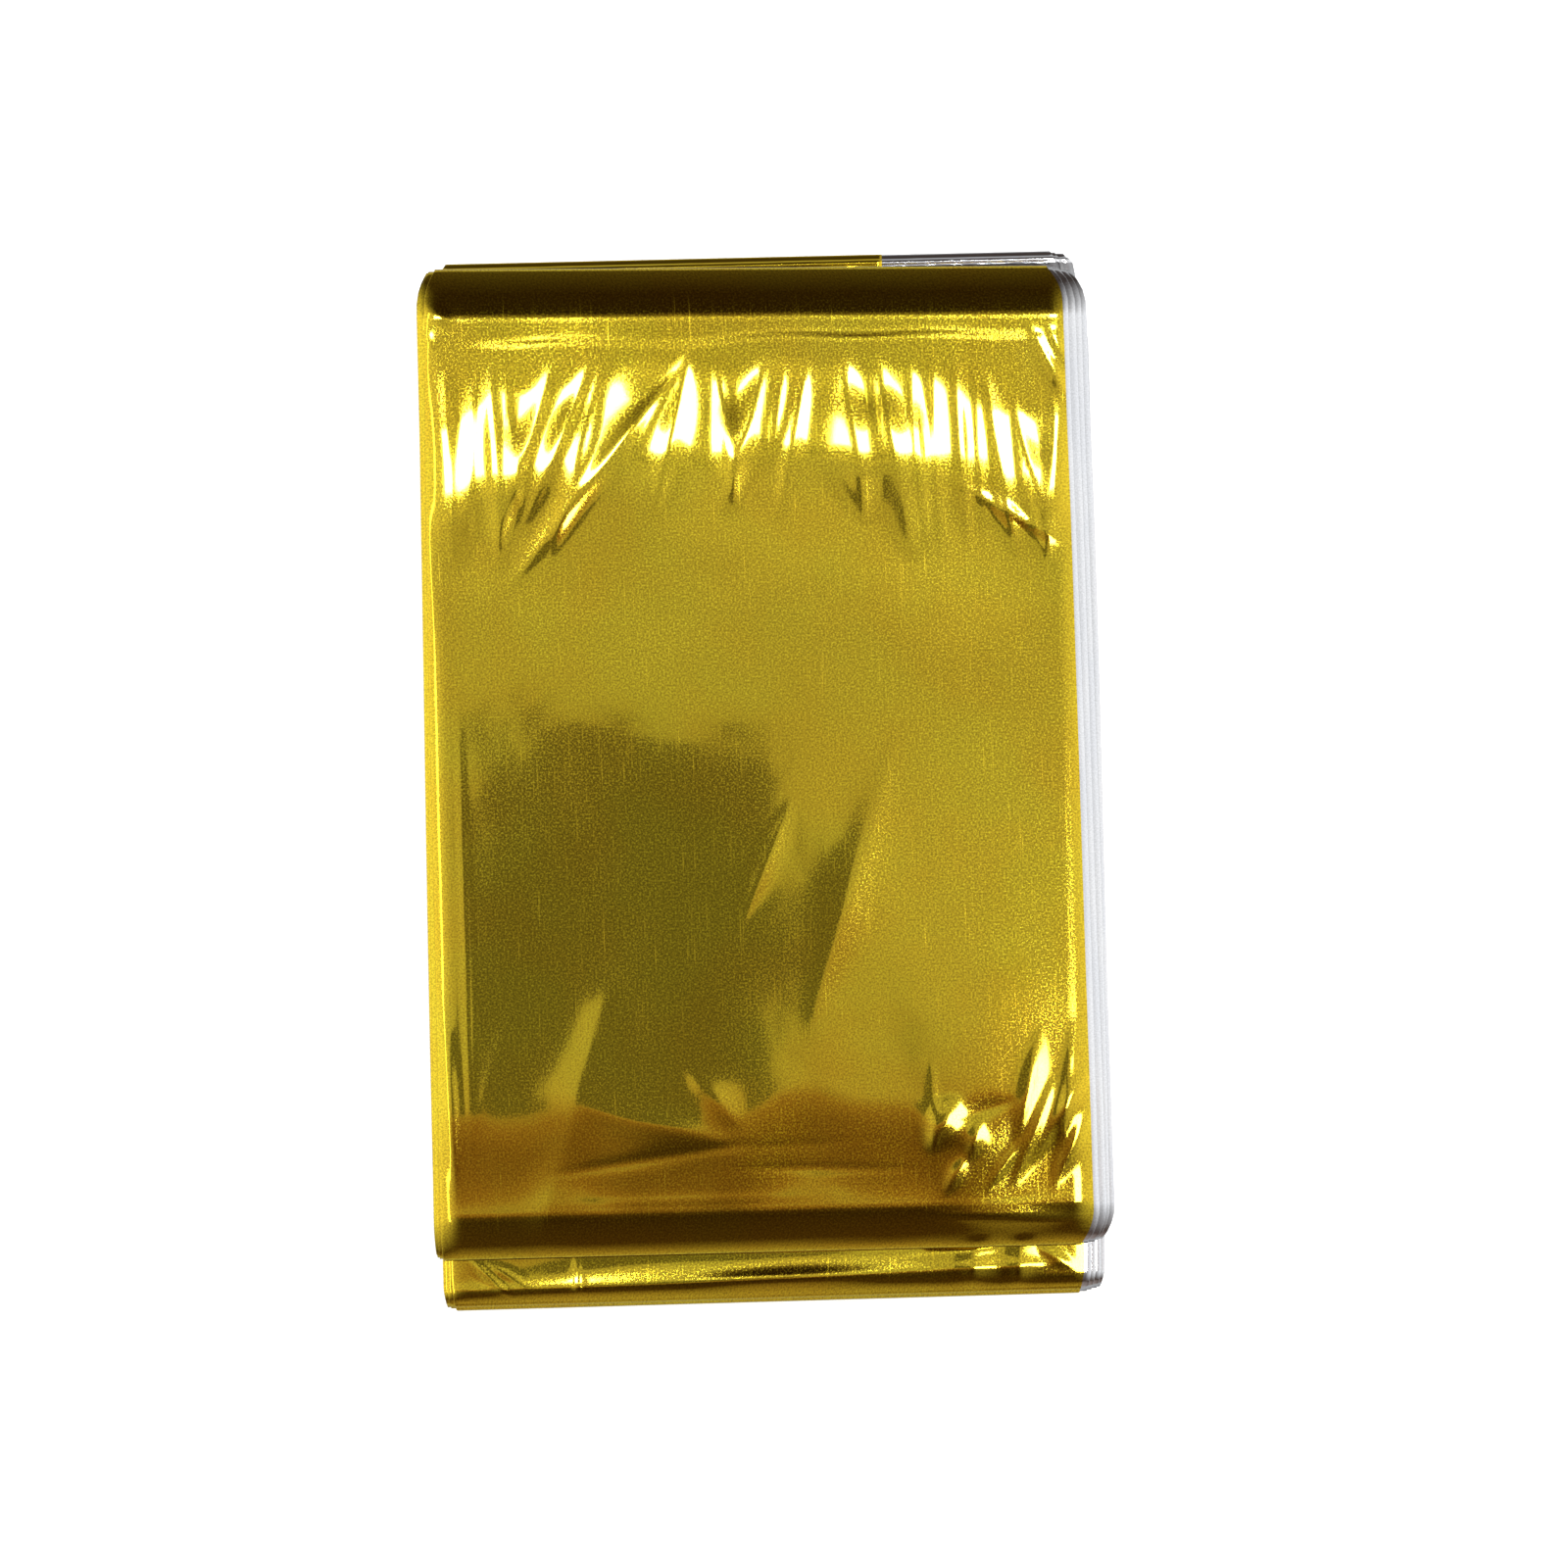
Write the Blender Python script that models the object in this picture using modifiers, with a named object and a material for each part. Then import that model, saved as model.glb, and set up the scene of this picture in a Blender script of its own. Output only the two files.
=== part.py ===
"""Emergency foil blanket, folded into a pocket packet.

One cut sheet of metallised film, with nothing sewn to it. The sheet is pleated across its width
into a narrow strip, and the strip is then folded back and forth along its length. The solid is
that strip: one open surface runs through each panel and round each end fold, and Solidify gives
it the thickness of a pleated layer. X runs across the packet, Y along it and Z up. The origin is
on the surface that the packet lies on, under its middle.
"""

import math
from collections import namedtuple

import bmesh
import bpy

NAME = "foil_blanket"
MM = 0.001

# The strip's layers, in millimetres
LAYER_THICKNESS = 1.0
LAYER_GAP = 0.4
LAYER_PITCH = LAYER_THICKNESS + LAYER_GAP

# Where layers that run on past shorter folds below them sink: from here, to here
TOP_SINK = (45.6, 51.5)
BOTTOM_SINK = (-47.0, -52.5)

# The loose ends inside the packet, along Y
FLAP_END = -43.5
BASE_END = 45.0

# How far from a fold's nose its drawn-in corners reach
CORNER_REACH = 5.0

# How many faces: across the strip, round each half of a fold, and along a panel
ACROSS = 12
ROUND_HALF_FOLD = 5
ALONG_HIDDEN = 7
ALONG_FACE = 14

# The strip's panels from its first end to its last. Level 0 lies on the surface.
Panel = namedtuple("Panel", "name level top_sink bottom_sink along")
PANELS = (
    Panel("flap", 5, 1.5, 0.0, ALONG_HIDDEN),
    Panel("face", 6, 0.2, 0.2, ALONG_FACE),
    Panel("second", 4, 1.5, 0.0, ALONG_HIDDEN),
    Panel("third", 3, 1.5, 0.5, ALONG_HIDDEN),
    Panel("fourth", 2, 0.0, 1.2, ALONG_HIDDEN),
    Panel("fifth", 1, 0.0, 0.0, ALONG_HIDDEN),
    Panel("base", 0, 0.0, 0.0, ALONG_HIDDEN),
)

# The folds that join each panel to the next, +1 at the top end and -1 at the bottom end: the
# outside of the nose along Y at the packet's left and right, its height, how long its upper and
# lower halves curve, the strip's two edges there, and how far each corner is drawn in.
Fold = namedtuple(
    "Fold",
    "name end nose_left nose_right height upper_roll lower_roll left right tuck_left tuck_right",
)
FOLDS = (
    Fold("front_top", 1, 53.85, 52.55, 6.9, 5.0, 0.9, -34.45, 34.65, 1.3, 1.9),
    Fold("front_bottom", -1, -49.05, -49.05, 7.3, 4.2, 2.2, -35.35, 35.35, 0.2, 1.7),
    Fold("back_top", 1, 54.65, 54.45, 3.9, 0.9, 0.9, -34.2, 34.8, 3.1, 3.0),
    Fold("back_bottom", -1, -54.65, -54.45, 3.1, 2.0, 1.6, -34.75, 34.55, 0.5, 0.8),
    Fold("inner_top", 1, 46.2, 45.9, 2.6, 0.9, 0.9, -34.2, 34.7, 0.8, 0.8),
    Fold("inner_bottom", -1, -46.7, -47.0, 1.2, 0.9, 0.9, -34.5, 34.8, 0.6, 0.6),
)

# Broad unevenness of the packet's face, which fades to nothing at the flat underside
Swell = namedtuple("Swell", "name x y reach_x reach_y rise")
SWELLS = (
    Swell("crown", 2.0, 4.0, 24.0, 34.0, 0.35),
    Swell("dip_left", -20.0, -24.0, 9.0, 14.0, -0.20),
    Swell("rise_right", 22.0, -30.0, 8.0, 12.0, 0.20),
    Swell("pull_left", -16.0, 32.0, 7.0, 9.0, 0.18),
    Swell("pull_right", 24.0, 26.0, 7.0, 10.0, -0.16),
)

GOLD = (0.80, 0.62, 0.05, 1.0)
GOLD_ROUGHNESS = 0.22


def clear_scene():
    """Removes what the scene holds at the start."""
    for obj in list(bpy.data.objects):
        bpy.data.objects.remove(obj)


def between(low, high, share):
    """The value at a share of the way from low to high."""
    return low + (high - low) * share


def smooth(share):
    """0 to 1 with level ends, held outside them."""
    held = min(max(share, 0.0), 1.0)
    return held * held * (3.0 - 2.0 * held)


def sunk(span, y):
    """How far, from 0 to 1, a layer has sunk at y along a sinking stretch."""
    return smooth((y - span[0]) / (span[1] - span[0]))


def panel_height(panel, y):
    """The height of the middle of a panel's thickness at y."""
    level = LAYER_THICKNESS / 2 + panel.level * LAYER_PITCH
    return level - panel.top_sink * sunk(TOP_SINK, y) - panel.bottom_sink * sunk(BOTTOM_SINK, y)


def fold_nose(fold, across):
    """The nose's middle along Y at a share of the way across the packet."""
    return between(fold.nose_left, fold.nose_right, across) - fold.end * LAYER_THICKNESS / 2


def half_fold(fold, panel, roll, across):
    """Points from where a panel starts to curve round to just before the fold's nose.

    They lie on a quarter of an ellipse, and the strip turns by the same angle at each of them.
    """
    start_y = fold_nose(fold, across) - fold.end * roll
    rise = panel_height(panel, start_y) - fold.height
    points = []
    for step in range(ROUND_HALF_FOLD):
        turned = math.pi / 2 * step / ROUND_HALF_FOLD
        angle = math.atan2(abs(rise) * math.cos(turned), roll * math.sin(turned))
        y = start_y + fold.end * roll * math.cos(angle)
        points.append((y, fold.height + rise * math.sin(angle)))
    return points


def fold_points(fold, before, after, across):
    """Points round a fold, from the panel before it to the panel after it."""
    upper_first = before.level > after.level
    rolls = (fold.upper_roll, fold.lower_roll)
    if not upper_first:
        rolls = rolls[::-1]
    leaving = half_fold(fold, before, rolls[0], across)
    arriving = half_fold(fold, after, rolls[1], across)
    return leaving + [(fold_nose(fold, across), fold.height)] + arriving[::-1]


def panel_points(panel, start_y, end_y):
    """Points along a panel between its ends, with one where it starts to sink and one beyond."""
    low, high = min(start_y, end_y), max(start_y, end_y)
    level_low, level_high = max(low, BOTTOM_SINK[0]), min(high, TOP_SINK[0])
    stops = [between(level_low, level_high, step / panel.along) for step in range(1, panel.along)]
    if low < level_low:
        stops = [(low + level_low) / 2, level_low, *stops]
    if high > level_high:
        stops = [*stops, level_high, (level_high + high) / 2]
    if end_y < start_y:
        stops.reverse()
    return [(y, panel_height(panel, y)) for y in stops]


def edge_at(y, before, after, side):
    """The strip's left or right edge at y, on a panel or fold between two folds."""
    ends = [fold for fold in (before, after) if fold]
    places = [getattr(fold, side) for fold in ends]
    noses = [fold.nose_left for fold in ends]
    if len(ends) == 1:
        edge = places[0]
    else:
        edge = between(places[0], places[1], (y - noses[0]) / (noses[1] - noses[0]))
    inward = 1.0 if side == "left" else -1.0
    for fold, nose in zip(ends, noses):
        near = max(0.0, 1.0 - abs(y - nose) / CORNER_REACH)
        edge += inward * near * getattr(fold, "tuck_" + side)
    return edge


def strip_section(across):
    """The strip's whole path at a share of the way across: (left edge, right edge, y, z)."""
    path = []
    for index, panel in enumerate(PANELS):
        before = FOLDS[index - 1] if index else None
        after = FOLDS[index] if index < len(FOLDS) else None
        if before:
            turned = fold_points(before, PANELS[index - 1], panel, across)
            neighbours = (before, after) if after else (before, None)
            path += [(y, z, neighbours) for y, z in turned]
            start_y = turned[-1][0]
        else:
            start_y = FLAP_END
            path.append((start_y, panel_height(panel, start_y), (None, after)))
        if after:
            end_y = fold_points(after, panel, PANELS[index + 1], across)[0][0]
        else:
            end_y = BASE_END
        path += [(y, z, (before, after)) for y, z in panel_points(panel, start_y, end_y)]
    path.append((BASE_END, panel_height(PANELS[-1], BASE_END), (FOLDS[-1], None)))
    return [(edge_at(y, *ends, "left"), edge_at(y, *ends, "right"), y, z) for y, z, ends in path]


def swell_at(x, y):
    """The face's broad unevenness at a place."""
    total = 0.0
    for swell in SWELLS:
        away = ((x - swell.x) / swell.reach_x) ** 2 + ((y - swell.y) / swell.reach_y) ** 2
        total += swell.rise * math.exp(-away)
    return total


def strip_mesh():
    """The folded strip as one open grid of faces."""
    base = LAYER_THICKNESS / 2
    top = base + max(panel.level for panel in PANELS) * LAYER_PITCH
    mesh = bmesh.new()
    columns = []
    for station in range(ACROSS + 1):
        across = station / ACROSS
        column = []
        for left, right, y, z in strip_section(across):
            x = between(left, right, across)
            lift = swell_at(x, y) * max(0.0, (z - base) / (top - base))
            column.append(mesh.verts.new((x * MM, y * MM, (z + lift) * MM)))
        columns.append(column)
    for near, far in zip(columns, columns[1:]):
        for step in range(len(near) - 1):
            mesh.faces.new((near[step], near[step + 1], far[step + 1], far[step]))
    data = bpy.data.meshes.new(NAME)
    mesh.to_mesh(data)
    mesh.free()
    data.shade_smooth()
    return data


def gold_film():
    """Gold-lacquered metallised film: a bright metal with a slight haze."""
    material = bpy.data.materials.new("gold_film")
    material.use_nodes = True
    shader = material.node_tree.nodes["Principled BSDF"]
    shader.inputs["Base Color"].default_value = GOLD
    shader.inputs["Metallic"].default_value = 1.0
    shader.inputs["Roughness"].default_value = GOLD_ROUGHNESS
    return material


def build():
    """Makes the packet and puts it in a collection of its own."""
    clear_scene()
    collection = bpy.data.collections.new("emergency_foil_blanket")
    bpy.context.scene.collection.children.link(collection)
    packet = bpy.data.objects.new(NAME, strip_mesh())
    packet.data.materials.append(gold_film())
    collection.objects.link(packet)
    wall = packet.modifiers.new("layer_thickness", "SOLIDIFY")
    wall.thickness = LAYER_THICKNESS * MM
    wall.offset = 0.0
    wall.use_even_offset = True
    return packet


build()
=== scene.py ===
# %% [markdown]
# # An emergency foil blanket, folded
#
# The blanket is one sheet of plastic film, thinner than a hair, with a mirror coat of metal. One
# side is lacquered gold and the other is left silver. It is pleated across its width into a
# narrow strip, and the strip is folded back and forth into a packet for a pocket.
#
# The script loads the finished CAD model and hides its solid, which only has the packet's main
# shape. It then lays the film itself on the same folds: the outermost ply as a fine sheet that
# carries the creases, and the plies under it as a second sheet that shows along the sides.

# %% Load the frame
import math
from collections import namedtuple

import bpy
import numpy as np
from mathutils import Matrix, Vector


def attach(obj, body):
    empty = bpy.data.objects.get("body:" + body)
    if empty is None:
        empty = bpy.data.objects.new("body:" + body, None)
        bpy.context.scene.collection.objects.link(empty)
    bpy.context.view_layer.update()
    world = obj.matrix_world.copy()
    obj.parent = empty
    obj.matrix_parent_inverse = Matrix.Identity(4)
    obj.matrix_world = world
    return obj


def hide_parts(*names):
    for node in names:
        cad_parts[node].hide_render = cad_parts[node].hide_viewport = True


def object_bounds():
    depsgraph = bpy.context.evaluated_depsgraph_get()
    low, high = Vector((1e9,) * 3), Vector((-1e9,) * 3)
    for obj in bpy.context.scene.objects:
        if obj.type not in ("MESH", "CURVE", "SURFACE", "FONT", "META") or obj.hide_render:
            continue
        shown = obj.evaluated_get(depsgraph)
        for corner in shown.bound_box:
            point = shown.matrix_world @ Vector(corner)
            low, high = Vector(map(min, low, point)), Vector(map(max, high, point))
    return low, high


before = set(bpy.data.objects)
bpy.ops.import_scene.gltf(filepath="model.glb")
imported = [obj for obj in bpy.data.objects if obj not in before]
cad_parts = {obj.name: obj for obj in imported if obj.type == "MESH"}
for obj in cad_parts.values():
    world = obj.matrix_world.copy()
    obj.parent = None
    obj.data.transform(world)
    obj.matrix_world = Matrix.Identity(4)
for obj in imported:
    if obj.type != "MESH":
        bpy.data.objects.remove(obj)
cad_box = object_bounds()
low_corner, high_corner = cad_box
CAD_SIZE = [round((high - low) * 1000, 1) for low, high in zip(low_corner, high_corner)]
print("the CAD packet is", CAD_SIZE, "mm")

# %% [markdown]
# ## Camera
#
# The packet is seen from straight above, turned by a degree and a half. A long lens from less
# than half a metre keeps its sides straight. The lens and the distance together make the
# picture 162 mm wide at the packet's face. Lengths in this script are in millimetres, and MM
# turns them into Blender's metres.

# %% Camera
MM = 0.001
LENS_MM = 100.8
SENSOR_WIDTH_MM = 36.0
FACE_HEIGHT = 9.2
CAMERA_DISTANCE = 453.0
CAMERA_PLACE = (2.17, -0.50, FACE_HEIGHT + CAMERA_DISTANCE)
CAMERA_TURN = math.radians(-1.5)

bpy.ops.object.camera_add(
    location=[value * MM for value in CAMERA_PLACE], rotation=(0.0, 0.0, CAMERA_TURN)
)
camera = bpy.context.object
camera.name = "camera_above"
camera.data.lens = LENS_MM
camera.data.clip_start = 10.0 * MM
bpy.context.scene.camera = camera
print("picture width", round(CAMERA_DISTANCE * SENSOR_WIDTH_MM / LENS_MM, 1), "mm")

# %% [markdown]
# ## Colour and node helpers
#
# Colours are written as the hex values that a paint program shows, and one function turns them
# into the linear values that Blender mixes light with. A second one adds a shader node, sets it
# and links it, so each material below reads as a list of its nodes. A third fills a colour ramp.


# %% Colour and node helpers
def linear(hex_colour):
    """An sRGB hex value such as #E8C030 as a linear colour with alpha."""
    channels = []
    for start in (1, 3, 5):
        value = int(hex_colour[start : start + 2], 16) / 255.0
        if value <= 0.04045:
            channels.append(value / 12.92)
        else:
            channels.append(((value + 0.055) / 1.055) ** 2.4)
    return (*channels, 1.0)


def add_node(tree, kind, settings=None, **sockets):
    """Adds a node. Each socket is given a value, or another node's output to link from.

    A socket goes by its name, with _ for a space, or by its number as in0, in1 and so on. A Mix
    node's two colours are in6 and in7.
    """
    node = tree.nodes.new(kind)
    for name, value in (settings or {}).items():
        setattr(node, name, value)
    for name, value in sockets.items():
        numbered = name.startswith("in") and name[2:].isdigit()
        socket = node.inputs[int(name[2:]) if numbered else name.replace("_", " ")]
        if isinstance(value, bpy.types.NodeSocket):
            tree.links.new(value, socket)
        else:
            socket.default_value = value
    return node


def set_ramp(node, stops):
    """Puts stops, each (place, red, green, blue), on a colour ramp."""
    ramp = node.color_ramp
    while len(ramp.elements) < len(stops):
        ramp.elements.new(0.5)
    for element, (place, *colour) in zip(ramp.elements, stops):
        element.position = place
        element.color = (*colour, 1.0)


print("middle grey, #808080, holds", round(linear("#808080")[0], 3), "of the light")

# %% [markdown]
# ## Surroundings
#
# Foil has almost no colour of its own: it shows what stands round it, tinted gold. So the room
# matters as much as the material. Over the packet it is a soft grey, and towards the packet's
# sides it is bright. Past its two ends it is dark, which is why the rolled ends look nearly
# black, and only far down past the lower end it is lighter again. Film that leans past 45
# degrees would show the paper under it, so below the horizon the room has the paper's shade.
# The room is a formula of direction, so it costs nothing to render.

# %% Sizes of the room light
# How bright the room is along the packet's length, from past its lower end (-1) to past its
# upper end (+1), and how warm: the dark ends are brown
ALONG = (
    (-1.0, 0.40, 0.3),
    (-0.90, 0.26, 0.5),
    (-0.78, 0.06, 1.0),
    (-0.45, 0.035, 1.0),
    (-0.28, 0.07, 1.0),
    (-0.19, 0.17, 1.0),
    (-0.13, 0.29, 0.9),
    (-0.09, 0.43, 0.3),
    (-0.04, 0.49, 0.0),
    (0.045, 0.42, 0.0),
    (0.08, 0.53, 0.0),
    (0.11, 0.40, 0.0),
    (0.15, 0.46, 0.0),
    (0.20, 0.55, 0.0),
    (0.30, 0.42, 0.0),
    (0.38, 0.14, 0.5),
    (0.46, 0.020, 1.0),
    (0.70, 0.025, 1.0),
    (1.0, 0.085, 0.4),
)
# Warm light keeps its red and loses these shares of its green and blue
WARM_GREEN_LOSS = 0.42
WARM_BLUE_LOSS = 0.6
# The sides' brightness, how far aside it fades in, and how far towards the ends it fades out
SIDE_BRIGHTNESS = 1.05
SIDE_FADE = (0.02, 0.80)
END_FADE = (0.35, 0.80)
# The paper's shade, and between which heights of a direction it fades in
FLOOR_BRIGHTNESS = 0.42
FLOOR_FADE = (0.05, -0.12)

# A ramp runs from 0 to 1, so a place from -1 to 1 is halved and moved
stops = []
for place, value, warm in ALONG:
    green = value * (1 - WARM_GREEN_LOSS * warm)
    blue = value * (1 - WARM_BLUE_LOSS * warm)
    stops.append((place * 0.5 + 0.5, value, green, blue))
print("room light has", len(stops), "stops along the packet")

# %% Room light
world = bpy.data.worlds.new("room")
bpy.context.scene.world = world
world.use_nodes = True
room = world.node_tree
room.nodes.clear()

toward = add_node(room, "ShaderNodeTexCoord")
parts = add_node(room, "ShaderNodeSeparateXYZ", Vector=toward.outputs["Generated"])
along_place = add_node(
    room, "ShaderNodeMath", {"operation": "MULTIPLY_ADD"}, in0=parts.outputs["Y"], in1=0.5, in2=0.5
)
along_ramp = add_node(room, "ShaderNodeValToRGB", Fac=along_place.outputs[0])
set_ramp(along_ramp, stops)
aside = add_node(room, "ShaderNodeMath", {"operation": "ABSOLUTE"}, in0=parts.outputs["X"])
side_share = add_node(
    room,
    "ShaderNodeMapRange",
    {"interpolation_type": "SMOOTHSTEP"},
    Value=aside.outputs[0],
    From_Min=SIDE_FADE[0],
    From_Max=SIDE_FADE[1],
)
endward = add_node(room, "ShaderNodeMath", {"operation": "ABSOLUTE"}, in0=parts.outputs["Y"])
not_end = add_node(
    room,
    "ShaderNodeMapRange",
    Value=endward.outputs[0],
    From_Min=END_FADE[0],
    From_Max=END_FADE[1],
    To_Min=1.0,
    To_Max=0.0,
)
side_part = add_node(
    room,
    "ShaderNodeMath",
    {"operation": "MULTIPLY"},
    in0=side_share.outputs["Result"],
    in1=not_end.outputs["Result"],
)
over_packet = add_node(
    room,
    "ShaderNodeMix",
    {"data_type": "RGBA"},
    in0=side_part.outputs[0],
    in6=along_ramp.outputs["Color"],
    in7=(SIDE_BRIGHTNESS, SIDE_BRIGHTNESS, SIDE_BRIGHTNESS, 1.0),
)
below_share = add_node(
    room,
    "ShaderNodeMapRange",
    {"interpolation_type": "SMOOTHSTEP"},
    Value=parts.outputs["Z"],
    From_Min=FLOOR_FADE[0],
    From_Max=FLOOR_FADE[1],
)
whole = add_node(
    room,
    "ShaderNodeMix",
    {"data_type": "RGBA"},
    in0=below_share.outputs["Result"],
    in6=over_packet.outputs[2],
    in7=(FLOOR_BRIGHTNESS, FLOOR_BRIGHTNESS, FLOOR_BRIGHTNESS, 1.0),
)
background = add_node(room, "ShaderNodeBackground", Color=whole.outputs[2], Strength=1.0)
add_node(room, "ShaderNodeOutputWorld", Surface=background.outputs[0])
print("room nodes:", len(room.nodes))

# %% [markdown]
# ## Lamps
#
# Four flat lamps hang above the packet and face straight down. Film that leans towards one of
# them shows it as a white streak, and film that doesn't stays gold. Two soft boxes past the
# upper end make the streaks there, a third one whitens the creases at the lower right, and a
# long strip light does so for the edge on the left. They can be small: what counts in a mirror
# is a lamp's brightness, not its power. A flat surface that shines as bright as 1 gives off pi
# watts for each square metre, and that sets each lamp's power.

# %% Lamps
# Angles from straight up, towards the upper end and to the right, are in degrees, and the
# height, width and depth are in metres
Lamp = namedtuple("Lamp", "name along across high wide deep brightness")
LAMPS = (
    Lamp("soft_box_upper_right", 14.6, 11.6, 1.5, 0.31, 0.19, 35.0),
    Lamp("soft_box_upper_left", 14.6, -11.6, 1.5, 0.31, 0.19, 35.0),
    Lamp("soft_box_lower_right", -9.0, 14.5, 1.5, 0.30, 0.26, 20.0),
    Lamp("strip_light_left", 0.0, -30.0, 1.5, 0.09, 1.60, 3.0),
)

for lamp in LAMPS:
    place = (
        lamp.high * math.tan(math.radians(lamp.across)),
        lamp.high * math.tan(math.radians(lamp.along)),
        lamp.high,
    )
    bpy.ops.object.light_add(type="AREA", location=place)
    light = bpy.context.object
    light.name = lamp.name
    light.data.shape = "RECTANGLE"
    light.data.size = lamp.wide
    light.data.size_y = lamp.deep
    light.data.energy = lamp.brightness * math.pi * lamp.wide * lamp.deep
    light.visible_camera = False
    print(lamp.name, round(light.data.energy, 2), "W")

# %% [markdown]
# ## Floor and grey card
#
# The floor is plain white. It is hidden from reflections, which take its shade from the room's
# lower half instead. The grey card hangs above the packet where no camera sees it and gives the
# lower left part of the face the darker, softly edged reflection that mirror film has when
# something stands over it.

# %% Floor
# Wide enough to fill every view, and just low enough not to touch the film
FLOOR_SIZE = 6000.0
FLOOR_HEIGHT = -0.4
# Uncoated white paper: matt, with no highlight. Its glow stands for the even light of a white
# studio, in which shadows nearly vanish.
PAPER_WHITE = "#F4F4F4"
PAPER_ROUGHNESS = 0.9
PAPER_GLOW = 0.55

bpy.ops.object.select_all(action="DESELECT")
bpy.ops.mesh.primitive_plane_add(size=FLOOR_SIZE * MM, location=(0.0, 0.0, FLOOR_HEIGHT * MM))
floor = bpy.context.object
floor.name = "floor"
floor.visible_glossy = False
paper = bpy.data.materials.new("white_paper")
paper.use_nodes = True
paper_shader = paper.node_tree.nodes["Principled BSDF"]
paper_shader.inputs["Base Color"].default_value = linear(PAPER_WHITE)
paper_shader.inputs["Roughness"].default_value = PAPER_ROUGHNESS
paper_shader.inputs["Emission Color"].default_value = linear("#FFFFFF")
paper_shader.inputs["Emission Strength"].default_value = PAPER_GLOW
floor.data.materials.append(paper)
print("floor", [round(value) for value in floor.dimensions[:2]], "m")

# %% Grey card
# Painted card: an even shade, so in the film it is one flat dark patch
CARD_HEIGHT = 750.0
CARD_COLOUR = "#FFFCF3"
CARD_SHADE = 0.15
# The left, right, low and high sides of the patch of film that shows it
CARD_FILM_AREA = (-33.0, 2.0, -42.0, 6.0)


def above_film(x, y):
    """The place on the card's level that flat film at (x, y) reflects to the camera."""
    grow = 1.0 + CARD_HEIGHT / CAMERA_DISTANCE
    middle_x, middle_y = CAMERA_PLACE[:2]
    return middle_x + (x - middle_x) * grow, middle_y + (y - middle_y) * grow


card_left, card_low = above_film(CARD_FILM_AREA[0], CARD_FILM_AREA[2])
card_right, card_high = above_film(CARD_FILM_AREA[1], CARD_FILM_AREA[3])
bpy.ops.object.select_all(action="DESELECT")
bpy.ops.mesh.primitive_plane_add(
    size=1.0,
    location=((card_left + card_right) / 2 * MM, (card_low + card_high) / 2 * MM, CARD_HEIGHT * MM),
)
card = bpy.context.object
card.name = "grey_card"
card.scale = ((card_right - card_left) * MM, (card_high - card_low) * MM, 1.0)
for seen_by in ("camera", "diffuse", "transmission", "shadow", "volume_scatter"):
    setattr(card, "visible_" + seen_by, False)
grey = bpy.data.materials.new("painted_grey_card")
grey.use_nodes = True
grey_tree = grey.node_tree
grey_tree.nodes.clear()
glow = add_node(
    grey_tree, "ShaderNodeEmission", Color=linear(CARD_COLOUR), Strength=CARD_SHADE
)
add_node(grey_tree, "ShaderNodeOutputMaterial", Surface=glow.outputs[0])
card.data.materials.append(grey)
print("grey card", [round(value * 1000) for value in card.scale[:2]], "mm")

# %% [markdown]
# ## Gold and silver film
#
# The blanket is polyester film, vacuum metallised with aluminium and lacquered gold on one side.
# The metal is a true mirror, so the shader is a metal with little roughness, and the lacquer is a
# thin clear coat over it. Handling leaves fine scratches along the strip and a grain where the
# pleats rubbed together, and these blur each reflection into a soft glow. All of it is worked out
# on the flat cut, through the sheet's UV map, so it follows the film round every fold.

# %% Sizes of the film's patterns
# In metres, as the flat cut is. The real scratches and grain are a few hundredths of a millimetre
# wide, too fine for the picture, so they are drawn as coarse as they need to be to show.
SCRATCH_WIDTH = 0.00015
SCRATCH_LENGTH = 0.009
GRAIN_SIZE = 0.0002
RIPPLE_SIZE = 0.004
TINT_SIZE = 0.012
RIPPLE_RISE = 0.000008
GRAIN_RISE = 0.0000006
# How much rougher the rubbed grain and the scratches are than clean film
GRAIN_HAZE = 0.08
SCRATCH_HAZE = 0.13
LACQUER_ROUGHNESS = 0.1
LACQUER_IOR = 1.5
# Noise runs from 0 to 1 and is mostly near 0.5. Over these parts of it the second tint, the
# grain's shade, its haze and the few scratches come in.
TINT_RANGE = (0.35, 0.65)
SHADE_RANGE = (0.25, 0.75)
GRAIN_RANGE = (0.45, 0.70)
SCRATCH_RANGE = (0.63, 0.82)
print("grain", GRAIN_SIZE * 1000, "mm, scratches", SCRATCH_LENGTH * 1000, "mm long")


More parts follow.
